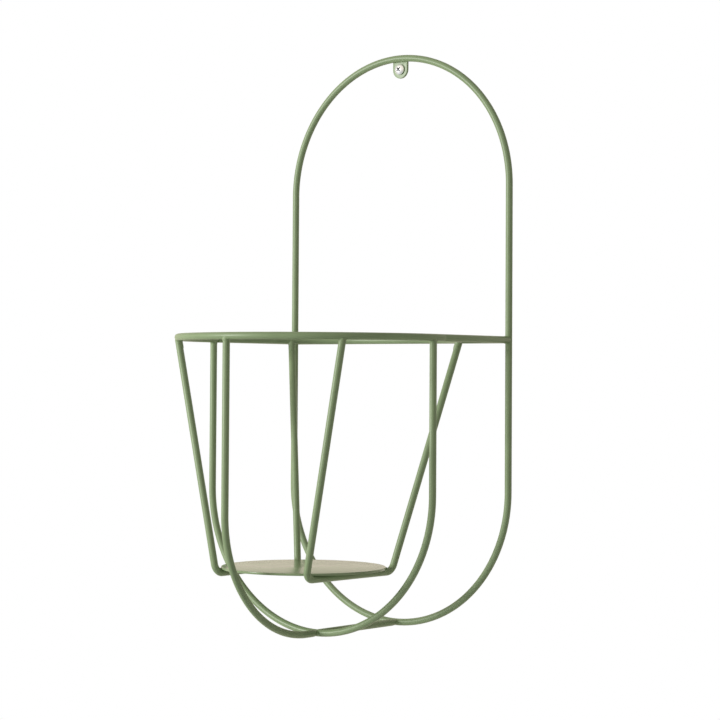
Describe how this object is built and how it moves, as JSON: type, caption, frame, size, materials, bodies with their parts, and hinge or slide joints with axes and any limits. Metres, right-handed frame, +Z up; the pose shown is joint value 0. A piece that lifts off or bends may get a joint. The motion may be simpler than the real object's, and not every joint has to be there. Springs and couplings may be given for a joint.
{
  "type": "wall planter",
  "caption": "Wall-hung planter of welded round rod: an oval frame against the wall, a level pot ring, and a rod basket with a round base plate, hung from a screw through a small tab.",
  "frame": {"origin": "where the axis of the wall screw meets the wall's surface", "axes": "+Z up, +Y horizontally into the wall, +X to the right as seen from the room"},
  "size_m": [0.2482, 0.2771, 0.5101],
  "materials": {
    "sage_paint": "satin powder coat, sage green",
    "screw_steel": "bright zinc plate"
  },
  "bodies": {
    "root": {"wall_frame": "sage_paint", "pot_ring": "sage_paint", "arm_left": "sage_paint", "arm_right": "sage_paint", "crossbar": "sage_paint", "side_loop": "sage_paint", "front_loop": "sage_paint", "rear_tie": "sage_paint", "basket_wire_left": "sage_paint", "basket_wire_right": "sage_paint", "base_disc": "sage_paint", "hanging_tab": "sage_paint", "wall_screw": "screw_steel", "welds_ring": "sage_paint", "welds_frame": "sage_paint", "welds_base": "sage_paint"}
  },
  "joints": []
}
